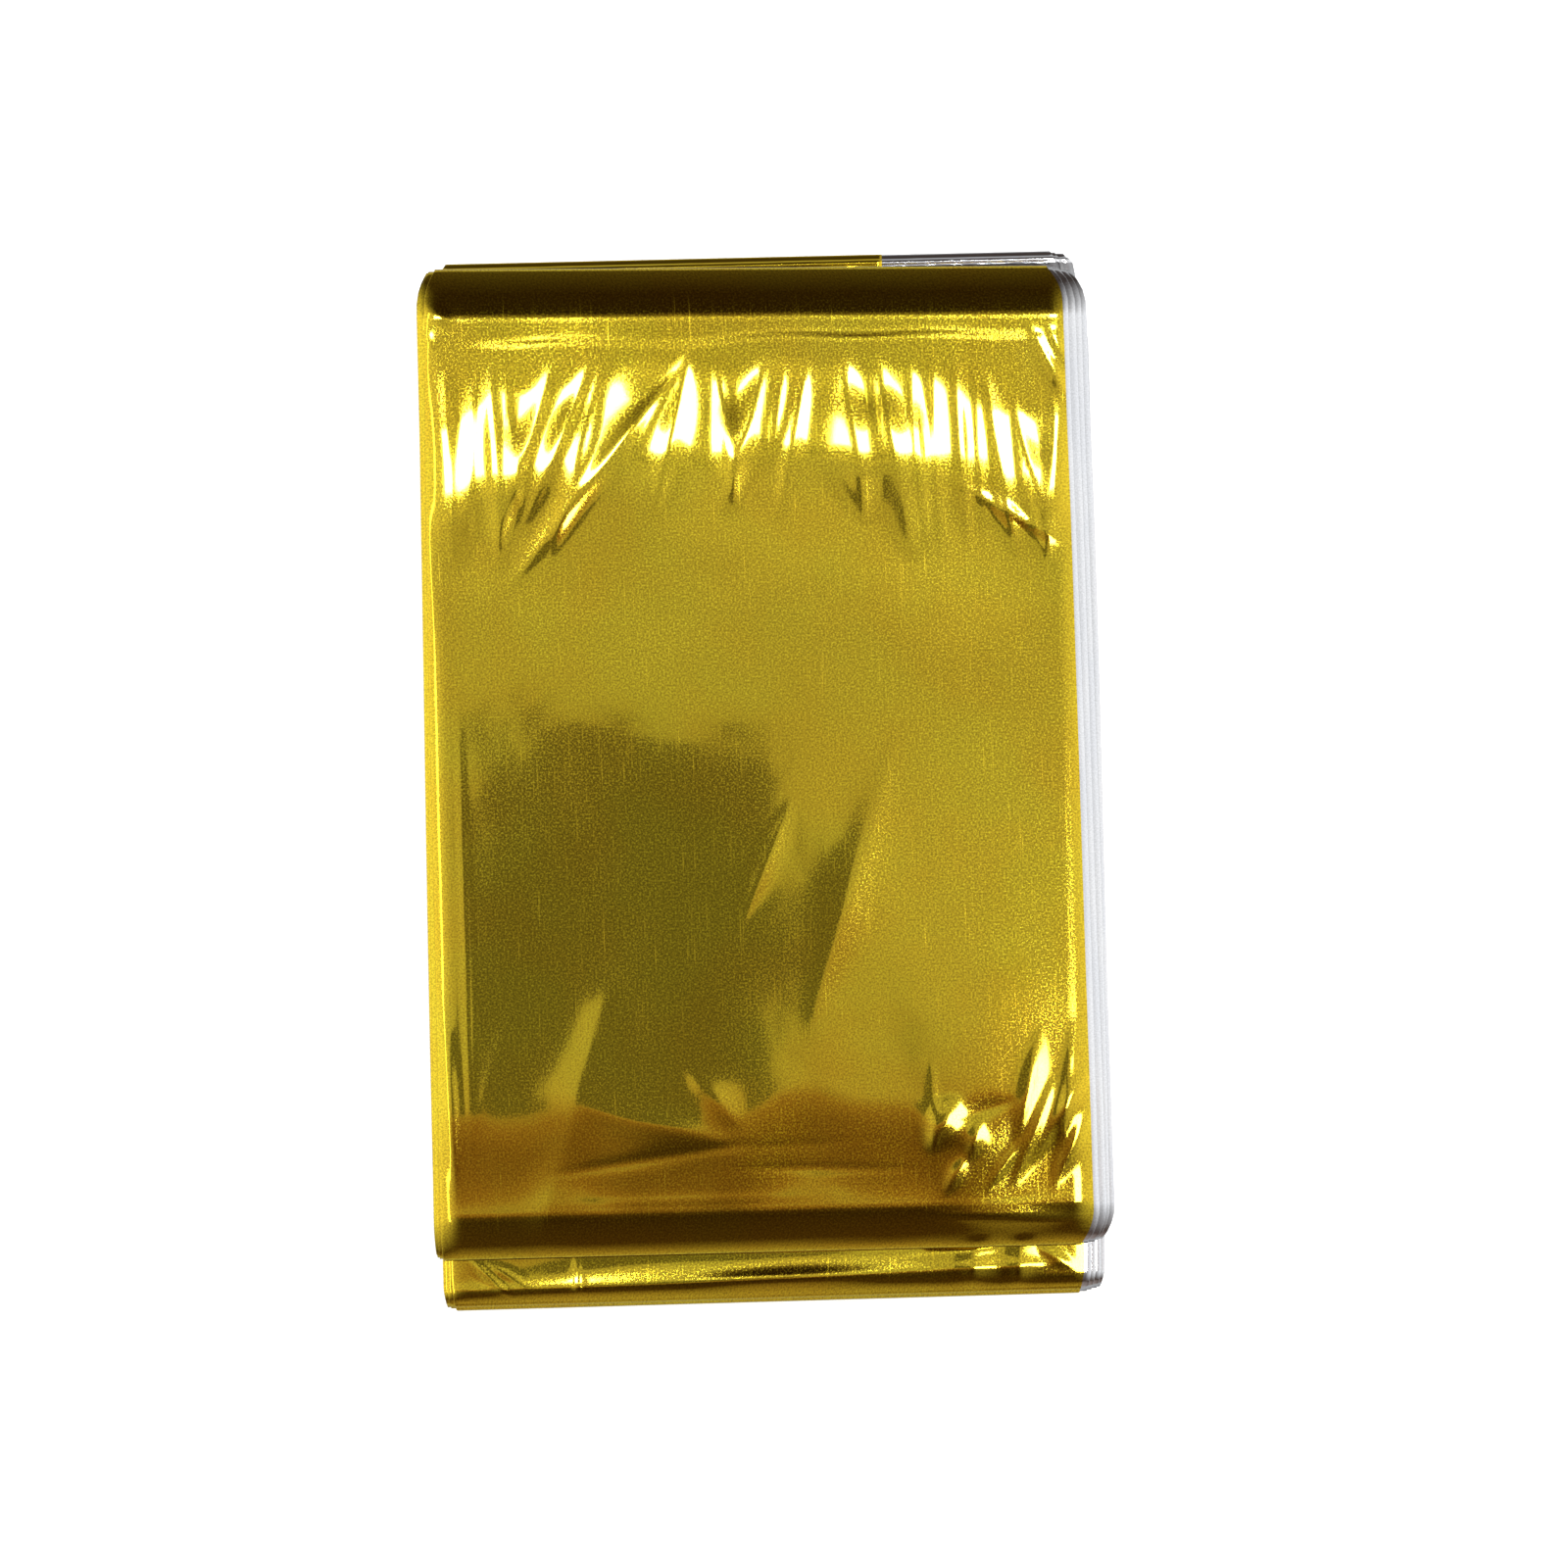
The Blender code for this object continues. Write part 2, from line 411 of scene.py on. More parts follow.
# %% Film material
def film_material(name, colour, tint, roughness, lacquer, rubbed):
    """Metallised film with scratches along the strip, grain and slow changes of tint.

    lacquer is the clear coat's share, and rubbed is how far the grain darkens and lightens the
    metal.
    """
    material = bpy.data.materials.new(name)
    material.use_nodes = True
    tree = material.node_tree
    shader = tree.nodes["Principled BSDF"]
    shader.inputs["Metallic"].default_value = 1.0
    shader.inputs["Coat Weight"].default_value = lacquer
    shader.inputs["Coat Roughness"].default_value = LACQUER_ROUGHNESS
    shader.inputs["Coat IOR"].default_value = LACQUER_IOR
    cut = add_node(tree, "ShaderNodeUVMap", {"uv_map": "flat_cut"}).outputs[0]
    flat = {"noise_dimensions": "2D"}
    noise = "ShaderNodeTexNoise"
    stretch = (1 / SCRATCH_WIDTH, 1 / SCRATCH_LENGTH, 1.0)
    stretched = add_node(tree, "ShaderNodeMapping", Vector=cut, Scale=stretch).outputs[0]
    scratches = add_node(tree, noise, flat, Vector=stretched, Scale=1.0, Detail=2.0)
    grain = add_node(tree, noise, flat, Vector=cut, Scale=1 / GRAIN_SIZE, Detail=2.0)
    ripples = add_node(tree, noise, flat, Vector=cut, Scale=1 / RIPPLE_SIZE, Detail=1.0)
    clouds = add_node(tree, noise, flat, Vector=cut, Scale=1 / TINT_SIZE, Detail=3.0)

    # The metal's colour: slow clouds of tint, darker and lighter in the grain
    cloud_share = add_node(
        tree,
        "ShaderNodeMapRange",
        Value=clouds.outputs[0],
        From_Min=TINT_RANGE[0],
        From_Max=TINT_RANGE[1],
    )
    base = add_node(
        tree,
        "ShaderNodeMix",
        {"data_type": "RGBA"},
        in0=cloud_share.outputs["Result"],
        in6=linear(colour),
        in7=linear(tint),
    )
    grain_shade = add_node(
        tree,
        "ShaderNodeMapRange",
        Value=grain.outputs[0],
        From_Min=SHADE_RANGE[0],
        From_Max=SHADE_RANGE[1],
        To_Min=1.0 - rubbed,
        To_Max=1.0 + rubbed,
    )
    shaded = add_node(
        tree,
        "ShaderNodeVectorMath",
        {"operation": "SCALE"},
        in0=base.outputs[2],
        Scale=grain_shade.outputs["Result"],
    )
    tree.links.new(shaded.outputs[0], shader.inputs["Base Color"])

    # Its haze: grain or scratch, whichever is rougher there
    grain_haze = add_node(
        tree,
        "ShaderNodeMapRange",
        Value=grain.outputs[0],
        From_Min=GRAIN_RANGE[0],
        From_Max=GRAIN_RANGE[1],
        To_Max=GRAIN_HAZE,
    )
    scratch_haze = add_node(
        tree,
        "ShaderNodeMapRange",
        Value=scratches.outputs[0],
        From_Min=SCRATCH_RANGE[0],
        From_Max=SCRATCH_RANGE[1],
        To_Max=SCRATCH_HAZE,
    )
    haze = add_node(
        tree,
        "ShaderNodeMath",
        {"operation": "MAXIMUM"},
        in0=grain_haze.outputs["Result"],
        in1=scratch_haze.outputs["Result"],
    )
    rough = add_node(
        tree, "ShaderNodeMath", {"operation": "ADD"}, in0=haze.outputs[0], in1=roughness
    )
    tree.links.new(rough.outputs[0], shader.inputs["Roughness"])

    # Its relief: ripples that bend the reflections, and the grain's own roughness on them
    ripple_bump = add_node(
        tree, "ShaderNodeBump", Height=ripples.outputs[0], Strength=1.0, Distance=RIPPLE_RISE
    )
    grain_bump = add_node(
        tree,
        "ShaderNodeBump",
        Height=grain.outputs[0],
        Strength=1.0,
        Distance=GRAIN_RISE,
        Normal=ripple_bump.outputs[0],
    )
    tree.links.new(grain_bump.outputs[0], shader.inputs["Normal"])
    return material


# %% Gold and silver film
# Gold side: aluminium coat under gold lacquer. To the eye it is a warm, slightly hazy mirror.
gold_film = film_material(
    "gold_lacquered_film", "#EFD231", "#EFCA2E", roughness=0.05, lacquer=0.2, rubbed=0.34
)
# Silver side: the bare aluminium coat. To the eye it is a pale, cool mirror with little grain.
silver_film = film_material(
    "silver_metallised_film", "#EDEEF0", "#E6E8EC", roughness=0.08, lacquer=0.0, rubbed=0.08
)
print("materials", gold_film.name, silver_film.name)

# %% [markdown]
# ## The strip's path
#
# Seen from the side, the folded strip is one line that runs up and down the packet and turns
# back at each end fold. These are the sizes that the CAD model is built from, so the film lies
# where the solid is. A few shapes differ, so that the film reflects what the real one does. The
# face's upper end and the third layer's lower end don't sink, and the face's two folds start more
# sharply, all by half a millimetre or less. The corners draw in closer to the folds, by about a
# millimetre at the most. The strip's layers are a millimetre thick and a little apart, and the end
# folds are quarters of ellipses.

# %% Sizes of the strip
LAYER_THICKNESS = 1.0
LAYER_PITCH = 1.4
# Where layers that run on past shorter folds below them sink: from here, to here
TOP_SINK = (45.6, 51.5)
BOTTOM_SINK = (-47.0, -52.5)
# The strip's loose ends inside the packet, and how far from a fold its corners draw in
FLAP_END = -43.5
BASE_END = 45.0
CORNER_REACH = 4.0

# Level 0 is the lowest layer, and the sinks are how far a layer goes down at its two ends
Panel = namedtuple("Panel", "name level top_sink bottom_sink")
PANELS = (
    Panel("flap", 5, 1.5, 0.0),
    Panel("face", 6, 0.0, 0.2),
    Panel("second", 4, 1.5, 0.0),
    Panel("third", 3, 1.5, 0.0),
    Panel("fourth", 2, 0.0, 1.2),
    Panel("fifth", 1, 0.0, 0.0),
    Panel("base", 0, 0.0, 0.0),
)
# The fold from each panel to the next, +1 at the top end and -1 at the bottom: where its nose is
# at the packet's left and right, its height, how long its upper and lower halves curve, the
# strip's left and right edges there, and how far each corner is drawn in
Fold = namedtuple(
    "Fold",
    "name end nose_left nose_right height upper_roll lower_roll left right tuck_left tuck_right",
)
FOLDS = (
    Fold("front_top", 1, 53.85, 52.55, 6.9, 5.0, 0.9, -34.45, 34.65, 1.3, 1.9),
    Fold("front_bottom", -1, -49.05, -49.05, 7.3, 4.2, 2.2, -35.35, 35.35, 0.2, 1.7),
    Fold("back_top", 1, 54.65, 54.45, 3.9, 0.9, 0.9, -34.2, 34.8, 3.1, 3.0),
    Fold("back_bottom", -1, -54.65, -54.45, 3.1, 2.0, 1.6, -34.75, 34.55, 0.5, 0.8),
    Fold("inner_top", 1, 46.2, 45.9, 2.6, 0.9, 0.9, -34.2, 34.7, 0.8, 0.8),
    Fold("inner_bottom", -1, -46.7, -47.0, 1.2, 0.9, 0.9, -34.5, 34.8, 0.6, 0.6),
)
# A fold's section has power 2, a quarter of an ellipse. The face was pressed flat and turns
# down more sharply at both ends, which a lower power gives.
ROUND_POWER = 2.0
PRESSED_POWER = 1.32
# The third layer shows below the lower front fold from here on
SHOWN_FROM = -46.5
# How far from the middle the lengths folded inside each back fold start to show
NESTED_FROM = {"back_top": 53.0, "back_bottom": 53.6}
print(len(PANELS), "layers and", len(FOLDS), "end folds")


# %% Path of the strip
def between(low, high, share):
    """The value at a share of the way from low to high."""
    return low + (high - low) * share


def smooth(share):
    """0 to 1 with level ends, held outside them."""
    held = np.clip(share, 0.0, 1.0)
    return held * held * (3.0 - 2.0 * held)


def panel_height(panel, y):
    """The height of the middle of a panel's thickness at y."""
    level = LAYER_THICKNESS / 2 + panel.level * LAYER_PITCH
    top_share = smooth((y - TOP_SINK[0]) / (TOP_SINK[1] - TOP_SINK[0]))
    bottom_share = smooth((y - BOTTOM_SINK[0]) / (BOTTOM_SINK[1] - BOTTOM_SINK[0]))
    return level - panel.top_sink * top_share - panel.bottom_sink * bottom_share


def fold_nose(fold, across):
    """The nose's middle along Y at a share of the way across the packet."""
    return between(fold.nose_left, fold.nose_right, across) - fold.end * LAYER_THICKNESS / 2


def half_fold(fold, panel, roll, across, steps):
    """Points from where a panel starts to curve round to just before the fold's nose."""
    start_y = fold_nose(fold, across) - fold.end * roll
    rise = panel_height(panel, start_y) - fold.height
    power = PRESSED_POWER if panel.name == "face" else ROUND_POWER
    points = []
    for step in range(steps):
        out = math.sin(math.pi / 2 * step / steps) ** (2.0 / power)
        up = (1.0 - out**power) ** (1.0 / power)
        points.append((start_y + fold.end * roll * out, fold.height + rise * up))
    return points


def fold_points(fold, before, after, across, steps):
    """Points round a fold, from the panel before it to the panel after it."""
    rolls = (fold.upper_roll, fold.lower_roll)
    if before.level < after.level:
        rolls = rolls[::-1]
    leaving = half_fold(fold, before, rolls[0], across, steps)
    arriving = half_fold(fold, after, rolls[1], across, steps)
    return leaving + [(fold_nose(fold, across), fold.height)] + arriving[::-1]


def edge_at(y, before, after, side):
    """The strip's left or right edge at y, on a panel or fold between two folds."""
    ends = [fold for fold in (before, after) if fold]
    places = [getattr(fold, side) for fold in ends]
    noses = [fold.nose_left for fold in ends]
    if len(ends) == 1:
        edge = places[0]
    else:
        edge = between(places[0], places[1], (y - noses[0]) / (noses[1] - noses[0]))
    inward = 1.0 if side == "left" else -1.0
    for fold, nose in zip(ends, noses):
        near = max(0.0, 1.0 - abs(y - nose) / CORNER_REACH)
        edge += inward * near**2 * getattr(fold, "tuck_" + side)
    return edge


# %% The whole path
def panel_stops(panel, start_y, end_y, along):
    """The places along Y between a panel's ends, closer together where the third one shows."""
    stops = np.linspace(start_y, end_y, along.get(panel.name, along["other"]) + 1)[1:-1]
    if panel.name == "third" and "shown" in along:
        shown = np.linspace(SHOWN_FROM, end_y, along["shown"] + 1)[:-1]
        stops = np.concatenate((stops[stops > SHOWN_FROM], shown))
    return stops


def strip_path(across, along, steps):
    """The whole path at a share of the way across: (left edge, right edge, y, z, ripple) rows.

    along says how many parts each panel is cut into, and steps each half of a fold. Ripple is 1
    where the lengths folded inside a back fold show.
    """
    path = []
    for index, panel in enumerate(PANELS):
        before = FOLDS[index - 1] if index else None
        after = FOLDS[index] if index < len(FOLDS) else None
        if before:
            count = steps.get(before.name, steps["other"])
            turned = fold_points(before, PANELS[index - 1], panel, across, count)
            nested = NESTED_FROM.get(before.name, math.inf)
            path += [(y, z, (before, after), float(abs(y) > nested)) for y, z in turned]
            start_y = turned[-1][0]
        else:
            start_y = FLAP_END
            path.append((start_y, panel_height(panel, start_y), (before, after), 0.0))
        end_y = BASE_END
        if after:
            end_y = fold_points(after, panel, PANELS[index + 1], across, 2)[0][0]
        places = panel_stops(panel, start_y, end_y, along)
        path += [(y, panel_height(panel, y), (before, after), 0.0) for y in places]
    path.append((BASE_END, panel_height(PANELS[-1], BASE_END), (FOLDS[-1], None), 0.0))
    return np.array(
        [
            (edge_at(y, *ends, "left"), edge_at(y, *ends, "right"), y, z, ripple)
            for y, z, ends, ripple in path
        ]
    )


rough_path = strip_path(0.5, {"other": 8}, {"other": 6})
rough_length = np.hypot(np.diff(rough_path[:, 2]), np.diff(rough_path[:, 3])).sum()
print("the strip is", round(float(rough_length)), "mm long along its folds")

# %% [markdown]
# ## Creases and swells
#
# Film this thin holds every crease. Broad ones bend all the plies together: the crown in the
# middle of the face, its shoulders towards the end folds, and the way its long edges droop. Fine
# ones are only in the outermost ply. Both are listed in short tables, each as a soft ridge or
# trough, since no simulation would fold the film in the same places.

# %% Sizes of the broad shapes
# A swell is a bell round (x, y) that falls to about a third of its rise at its reach
Swell = namedtuple("Swell", "name x y reach_x reach_y rise")
SWELLS = (
    Swell("crown", 2.0, 4.0, 24.0, 34.0, 0.35),
    Swell("dip_left", -20.0, -24.0, 9.0, 14.0, -0.20),
    Swell("rise_right", 22.0, -30.0, 8.0, 12.0, 0.20),
    Swell("pull_left", -16.0, 32.0, 7.0, 9.0, 0.18),
    Swell("pull_right", 24.0, 26.0, 7.0, 10.0, -0.16),
)
# Slow waves, with how fast each turns along X and Y in radians a millimetre
Wave = namedtuple("Wave", "turn_x turn_y start rise")
WAVES = (
    Wave(0.61, 0.35, 0.0, 0.0026),
    Wave(0.42, -0.66, 1.0, 0.0022),
    Wave(1.10, 0.22, 2.0, 0.0010),
    Wave(0.27, 1.15, 0.6, 0.0009),
    Wave(0.16, 0.21, 2.6, 0.0180),
)
# Some of the lines below wander, by sums of waves: (rise, length for one radian, start).
# The shoulder that carries the streaks: its drop, half its length, how far up it lies in the
# middle, how much lower it is this far to the left and to the right, and how it wanders
SHOULDER_DROP = 0.53
SHOULDER_REACH = 5.6
SHOULDER_MIDDLE = 38.2
SHOULDER_ASIDE = 32.0
SHOULDER_LOWER_LEFT = 5.4
SHOULDER_LOWER_RIGHT = 7.4
SHOULDER_WANDER = ((0.9, 2.3, 0.0), (0.3, 1.1, 0.7))
# The low step between the shoulder and the rolled end. It fades out to the left, and it is
# deeper in some places than in others.
STEP_DROP = 0.12
STEP_START = 45.2
STEP_REACH = 0.9
STEP_WANDER = ((0.25, 5.3, 0.0), (0.2, 2.9, 1.0))
STEP_LEFT = -31.0
STEP_LEFT_FADE = 9.0
STEP_SHARE = 0.72
STEP_SHARE_CHANGE = ((0.28, 7.0, 0.0),)
# The slope down to the lower end, from a line that wanders
LOWER_DROP = 0.35
LOWER_START = -33.0
LOWER_REACH = 11.0
LOWER_WANDER = ((1.6, 4.6, 0.4), (0.7, 1.9, 0.0))
# The long edges' droop: how far, from where and over what width
LEFT_DROOP = 0.5
LEFT_DROOP_START = -32.2
LEFT_DROOP_REACH = 3.2
LEFT_DROOP_POWER = 1.5
RIGHT_DROOP = 0.8
RIGHT_DROOP_START = 31.0
RIGHT_DROOP_REACH = 5.0
# The heights of the lowest and the topmost layer's middle. Film above the second takes up to
# this much of the relief.
BASE_MIDDLE = 0.5
FACE_MIDDLE = 8.9
MOST_RELIEF = 1.1
print(len(SWELLS), "swells and", len(WAVES), "slow waves")


# %% Broad shapes of the packet
def wander(place, waves):
    """How far a line strays at a place along it: a sum of (rise, length, start) waves."""
    return sum(rise * np.sin(place / length + start) for rise, length, start in waves)


def broad_relief(x, y):
    """How far the packet's face stands above or below its flat level, in millimetres."""
    total = np.zeros_like(x)
    for swell in SWELLS:
        away = ((x - swell.x) / swell.reach_x) ** 2 + ((y - swell.y) / swell.reach_y) ** 2
        total += swell.rise * np.exp(-away)
    lower = np.where(x < 0.0, SHOULDER_LOWER_LEFT, SHOULDER_LOWER_RIGHT)
    arch = SHOULDER_MIDDLE - lower * (x / SHOULDER_ASIDE) ** 2 + wander(x, SHOULDER_WANDER)
    total -= SHOULDER_DROP * smooth((y - arch + SHOULDER_REACH) / (2 * SHOULDER_REACH))
    step_share = STEP_SHARE + wander(x, STEP_SHARE_CHANGE)
    step_share = step_share * smooth((x - STEP_LEFT) / STEP_LEFT_FADE)
    step_start = STEP_START + wander(x, STEP_WANDER)
    total -= STEP_DROP * smooth((y - step_start) / STEP_REACH) * step_share
    lower_start = LOWER_START + wander(x, LOWER_WANDER)
    total -= LOWER_DROP * smooth((lower_start - y) / LOWER_REACH)
    for wave in WAVES:
        total += wave.rise * np.sin(wave.turn_x * x + wave.turn_y * y + wave.start)
    left_share = smooth((LEFT_DROOP_START - x) / LEFT_DROOP_REACH) ** LEFT_DROOP_POWER
    total -= LEFT_DROOP * left_share
    total -= RIGHT_DROOP * smooth((x - RIGHT_DROOP_START) / RIGHT_DROOP_REACH)
    return total


def share_of_height(z):
    """How much of the face's relief a layer at height z takes: none at the flat underside."""
    return np.clip((z - BASE_MIDDLE) / (FACE_MIDDLE - BASE_MIDDLE), 0.0, MOST_RELIEF)


# %% Fine creases of the outer ply
# Each runs from (x1, y1) to (x2, y2). At its width from that line it has fallen to about a third
# of its rise, and a trough has a rise below zero. The fan is the row of streaks, and the star and
# the spots are the crumpled film at the lower right.
Crease = namedtuple("Crease", "name x1 y1 x2 y2 wide rise")
CREASES = (
    Crease("fan_1", -32.0, 43.6, -31.2, 22.0, 2.0, 0.27),
    Crease("fan_2", -28.8, 43.0, -30.0, 23.0, 1.2, 0.15),
    Crease("fan_3", -27.2, 43.6, -26.4, 22.0, 1.6, 0.24),
    Crease("fan_4", -25.8, 43.6, -24.0, 26.0, 0.8, 0.07),
    Crease("fan_5", -20.6, 43.6, -27.0, 24.0, 1.6, 0.23),
    Crease("fan_6", -16.6, 43.6, -24.2, 26.0, 1.4, 0.22),
    Crease("fan_7", -15.4, 43.6, -21.6, 22.0, 1.3, 0.18),
    Crease("fan_8", -6.0, 44.6, -26.0, 20.0, 1.1, 0.20),
    Crease("fan_9", -6.4, 44.6, -10.6, 27.0, 1.5, 0.23),
    Crease("fan_10", -3.8, 43.6, -1.6, 27.0, 1.3, 0.18),
    Crease("fan_11", 1.4, 43.6, -3.4, 27.0, 1.6, 0.24),
    Crease("fan_12", 3.4, 43.6, 1.2, 31.0, 0.8, 0.08),
    Crease("fan_13", 5.8, 43.6, 2.2, 26.0, 1.2, 0.15),
    Crease("fan_14", 9.4, 43.6, 11.4, 26.0, 2.6, 0.38),
    Crease("fan_15", 12.8, 43.6, 16.4, 22.0, 2.3, 0.32),
    Crease("fan_16", 16.2, 43.6, 17.8, 22.0, 0.9, 0.13),
    Crease("fan_17", 18.6, 43.6, 19.0, 22.0, 1.0, 0.11),
    Crease("fan_18", 21.0, 43.6, 21.8, 22.0, 0.8, 0.12),
    Crease("fan_19", 22.9, 43.6, 23.6, 22.0, 0.6, 0.07),
    Crease("fan_20", 24.0, 42.0, 26.8, 22.0, 1.5, 0.22),
    Crease("fan_21", 26.8, 39.0, 30.6, 21.0, 1.3, 0.19),
    Crease("fan_22", 31.6, 39.0, 29.8, 21.0, 1.6, 0.24),
    Crease("slant_right_1", 19.5, 30.9, 33.4, 22.5, 0.4, 0.11),
    Crease("slant_right_2", 22.8, 29.6, 28.2, 23.4, 0.35, 0.08),
    Crease("slant_right_3", 24.2, 29.6, 29.4, 24.0, 0.35, 0.07),
    Crease("corner_pull_1", 28.6, 46.6, 33.4, 36.5, 0.6, 0.18),
    Crease("corner_pull_2", 30.6, 46.6, 33.4, 40.0, 0.5, 0.14),
    Crease("middle_ridge", 3.2, -1.6, -3.0, -15.6, 0.9, 0.07),
    Crease("left_patch", -16.0, -20.0, -24.6, -48.0, 4.2, 0.19),
    Crease("left_patch_2", -26.0, -22.0, -31.0, -36.0, 1.2, 0.03),
    Crease("crescent", 14.0, 5.0, 4.0, -26.0, 2.4, 0.12),
    Crease("upright_right", 16.7, -29.0, 16.7, -42.0, 0.45, 0.05),
    Crease("star_right_1", 26.5, -40.5, 33.5, -29.5, 1.0, 0.17),
    Crease("star_right_2", 24.6, -43.0, 29.5, -31.0, 0.9, 0.16),
    Crease("star_right_3", 28.6, -43.5, 33.6, -33.0, 0.8, 0.15),
    Crease("star_right_4", 25.2, -38.5, 28.0, -26.0, 0.9, 0.16),
    Crease("star_right_5", 29.6, -41.0, 31.6, -25.0, 0.7, 0.13),
    Crease("spot_right_1", 15.8, -38.9, 19.4, -33.0, 1.5, 0.23),
    Crease("spot_right_2", 20.2, -40.0, 21.6, -35.4, 0.8, 0.13),
    Crease("spot_right_3", 17.4, -43.6, 20.2, -39.0, 0.7, 0.12),
    Crease("spot_right_4", 21.6, -43.4, 26.4, -37.0, 0.5, 0.09),
    Crease("spot_right_5", 18.4, -35.6, 25.4, -33.6, 0.9, -0.08),
    Crease("lower_line_1", -24.0, -40.4, -1.0, -37.2, 0.7, -0.060),
    Crease("lower_line_2", -6.0, -39.9, 16.0, -40.6, 0.45, -0.030),
    Crease("lower_line_3", -27.0, -43.4, 9.0, -43.0, 0.35, 0.020),
    Crease("lower_line_4", -12.0, -38.2, 12.0, -37.4, 0.40, -0.014),
    Crease("lower_dome", -20.0, -33.0, -4.0, -37.5, 2.4, 0.16),
    Crease("lower_dome_2", -9.0, -29.0, -3.0, -36.0, 1.8, 0.10),
    Crease("right_lens", 15.0, -45.4, 33.0, -46.2, 0.9, 0.26),
    Crease("corner_left_1", -34.4, 50.6, -30.6, 47.6, 0.5, 0.10),
    Crease("corner_left_2", -34.6, 47.8, -32.4, 45.2, 0.4, 0.08),
    Crease("left_edge_1", -34.0, 33.0, -33.4, 12.0, 0.4, 0.10),
    Crease("left_edge_2", -33.6, -20.0, -32.8, -43.0, 0.6, 0.14),
    Crease("left_edge_3", -31.2, 12.0, -31.0, -46.0, 0.4, 0.05),
)
# The same on the strip that shows past the lower front fold
LOW_CREASES = (
    Crease("low_ridge_1", -36.0, -52.6, 14.0, -51.7, 1.6, 0.42),
    Crease("low_ridge_2", -10.0, -52.0, 31.0, -51.2, 1.6, 0.42),
    Crease("low_ridge_3", 13.0, -50.2, 24.0, -49.4, 0.8, 0.12),
    Crease("low_facet_1", -32.0, -49.0, -27.5, -53.4, 0.5, 0.16),
    Crease("low_facet_2", -30.5, -49.4, -25.5, -52.4, 0.5, 0.12),
    Crease("low_cross", -20.6, -48.6, -20.7, -55.0, 0.35, 0.10),
    Crease("low_blob_1", 20.0, -54.4, 21.4, -47.0, 1.6, 0.22),
    Crease("low_blob_3", 25.0, -54.4, 26.0, -46.6, 1.4, 0.22),
    Crease("low_blob_2", 27.0, -49.0, 31.5, -52.0, 0.6, 0.12),
)
print(len(CREASES) + len(LOW_CREASES), "creases")

# %% Relief of the creases
# How a crease fades to its ends, the share of its width that it has there, and how its sides
# fall: power 2 is a bell, and a lower one is sharper at the top
END_TAPER = 1.3
END_WIDTH = 0.25
SIDE_POWER = 1.5
# The heights from which, and over which, the face's creases and the low ones fade in
FACE_CREASE_FADE = (7.0, 1.5)
LOW_CREASE_FADE = (3.4, 0.8)
# The low ones lie from here on towards the lower end
LOW_CREASE_START = -48.0


def ridges(table, x, y):
    """The height of soft ridges that fade to both ends, in millimetres."""
    total = np.zeros_like(x)
    for crease in table:
        run = np.array((crease.x2 - crease.x1, crease.y2 - crease.y1))
        length = math.hypot(*run)
        along = ((x - crease.x1) * run[0] + (y - crease.y1) * run[1]) / length**2
        off = ((x - crease.x1) * run[1] - (y - crease.y1) * run[0]) / length
        taper = np.sin(math.pi * np.clip(along, 0.0, 1.0)) ** END_TAPER
        spread = crease.wide * (END_WIDTH + (1.0 - END_WIDTH) * taper)
        total += crease.rise * taper * np.exp(-np.abs(off / spread) ** SIDE_POWER)
    return total


def crease_relief(x, y, z):
    """How far its own creases lift the outermost ply, on the face and on the low strip."""
    on_face = smooth((z - FACE_CREASE_FADE[0]) / FACE_CREASE_FADE[1])
    on_low = smooth((z - LOW_CREASE_FADE[0]) / LOW_CREASE_FADE[1]) * (y < LOW_CREASE_START)
    return ridges(CREASES, x, y) * on_face + ridges(LOW_CREASES, x, y) * on_low


middle_rise = broad_relief(np.zeros(1), np.zeros(1))[0]
print("the face's middle stands", round(float(middle_rise), 2), "mm proud")

# %% [markdown]
# ## Plies of the strip
#
# A cut through the strip shows a zigzag: the film runs from its cut edge on the right to a fold
# on the left, back under itself to a fold on the right, and so on. Left folds turn the gold side
# out and right folds the silver side, so the packet has gold on one long side and a silver
# margin on the other. The real strip has about 24 plies and about 20 layers. The model draws 14
# plies in each of its 7 layers, which is as many as show.

# %% Sizes of the plies
PLIES = 14
# The heights of the first, second and last ply in a layer, from the strip's middle
OUTER_H = 0.5
SECOND_H = 0.36
LAST_H = -0.5
# How far the film's cut edge stops short of the strip's right edge, and where it ends inside
CUT_IN = 2.35
LAST_PLY_END = 13.8
# How far the folds stop short of the strip's left and right edges, from the topmost down
LEFT_SHORT = (0.75, 0.30, 0.0, 0.45, 0.15, 0.5, 0.1)
RIGHT_SHORT = (1.70, 1.05, 0.50, 0.0, 0.7, 1.2)
# Lengths folded inside the back folds show there as ripples
RIPPLE_LENGTH = 0.62
RIPPLE_HEIGHT = 0.07


def ply_h(ply):
    """The height of a ply in its layer, from the strip's middle. Ply 1 is the outermost."""
    if ply == 1:
        return OUTER_H
    return between(SECOND_H, LAST_H, (ply - 2) / (PLIES - 2))


def drift(row_length, phase):
    """A slow wander of a fold's place along the strip, in millimetres."""
    return wander(row_length, ((0.10, 31.0, phase), (0.07, 13.0, 2.3 * phase)))


print("plies are", round(ply_h(2) - ply_h(3), 3), "mm apart")


# %% Rows along the strip
def row_normals(path):
    """For each row the direction, in Y and Z, that the gold side of the outer ply faces."""
    run = np.gradient(path[:, 2:4], axis=0)
    run /= np.linalg.norm(run, axis=1)[:, None]
    return np.stack((run[:, 1], -run[:, 0]), axis=1)


def row_lengths(path):
    """The distance along the strip to each row."""
    steps = np.hypot(np.diff(path[:, 2]), np.diff(path[:, 3]))
    return np.concatenate(([0.0], np.cumsum(steps)))


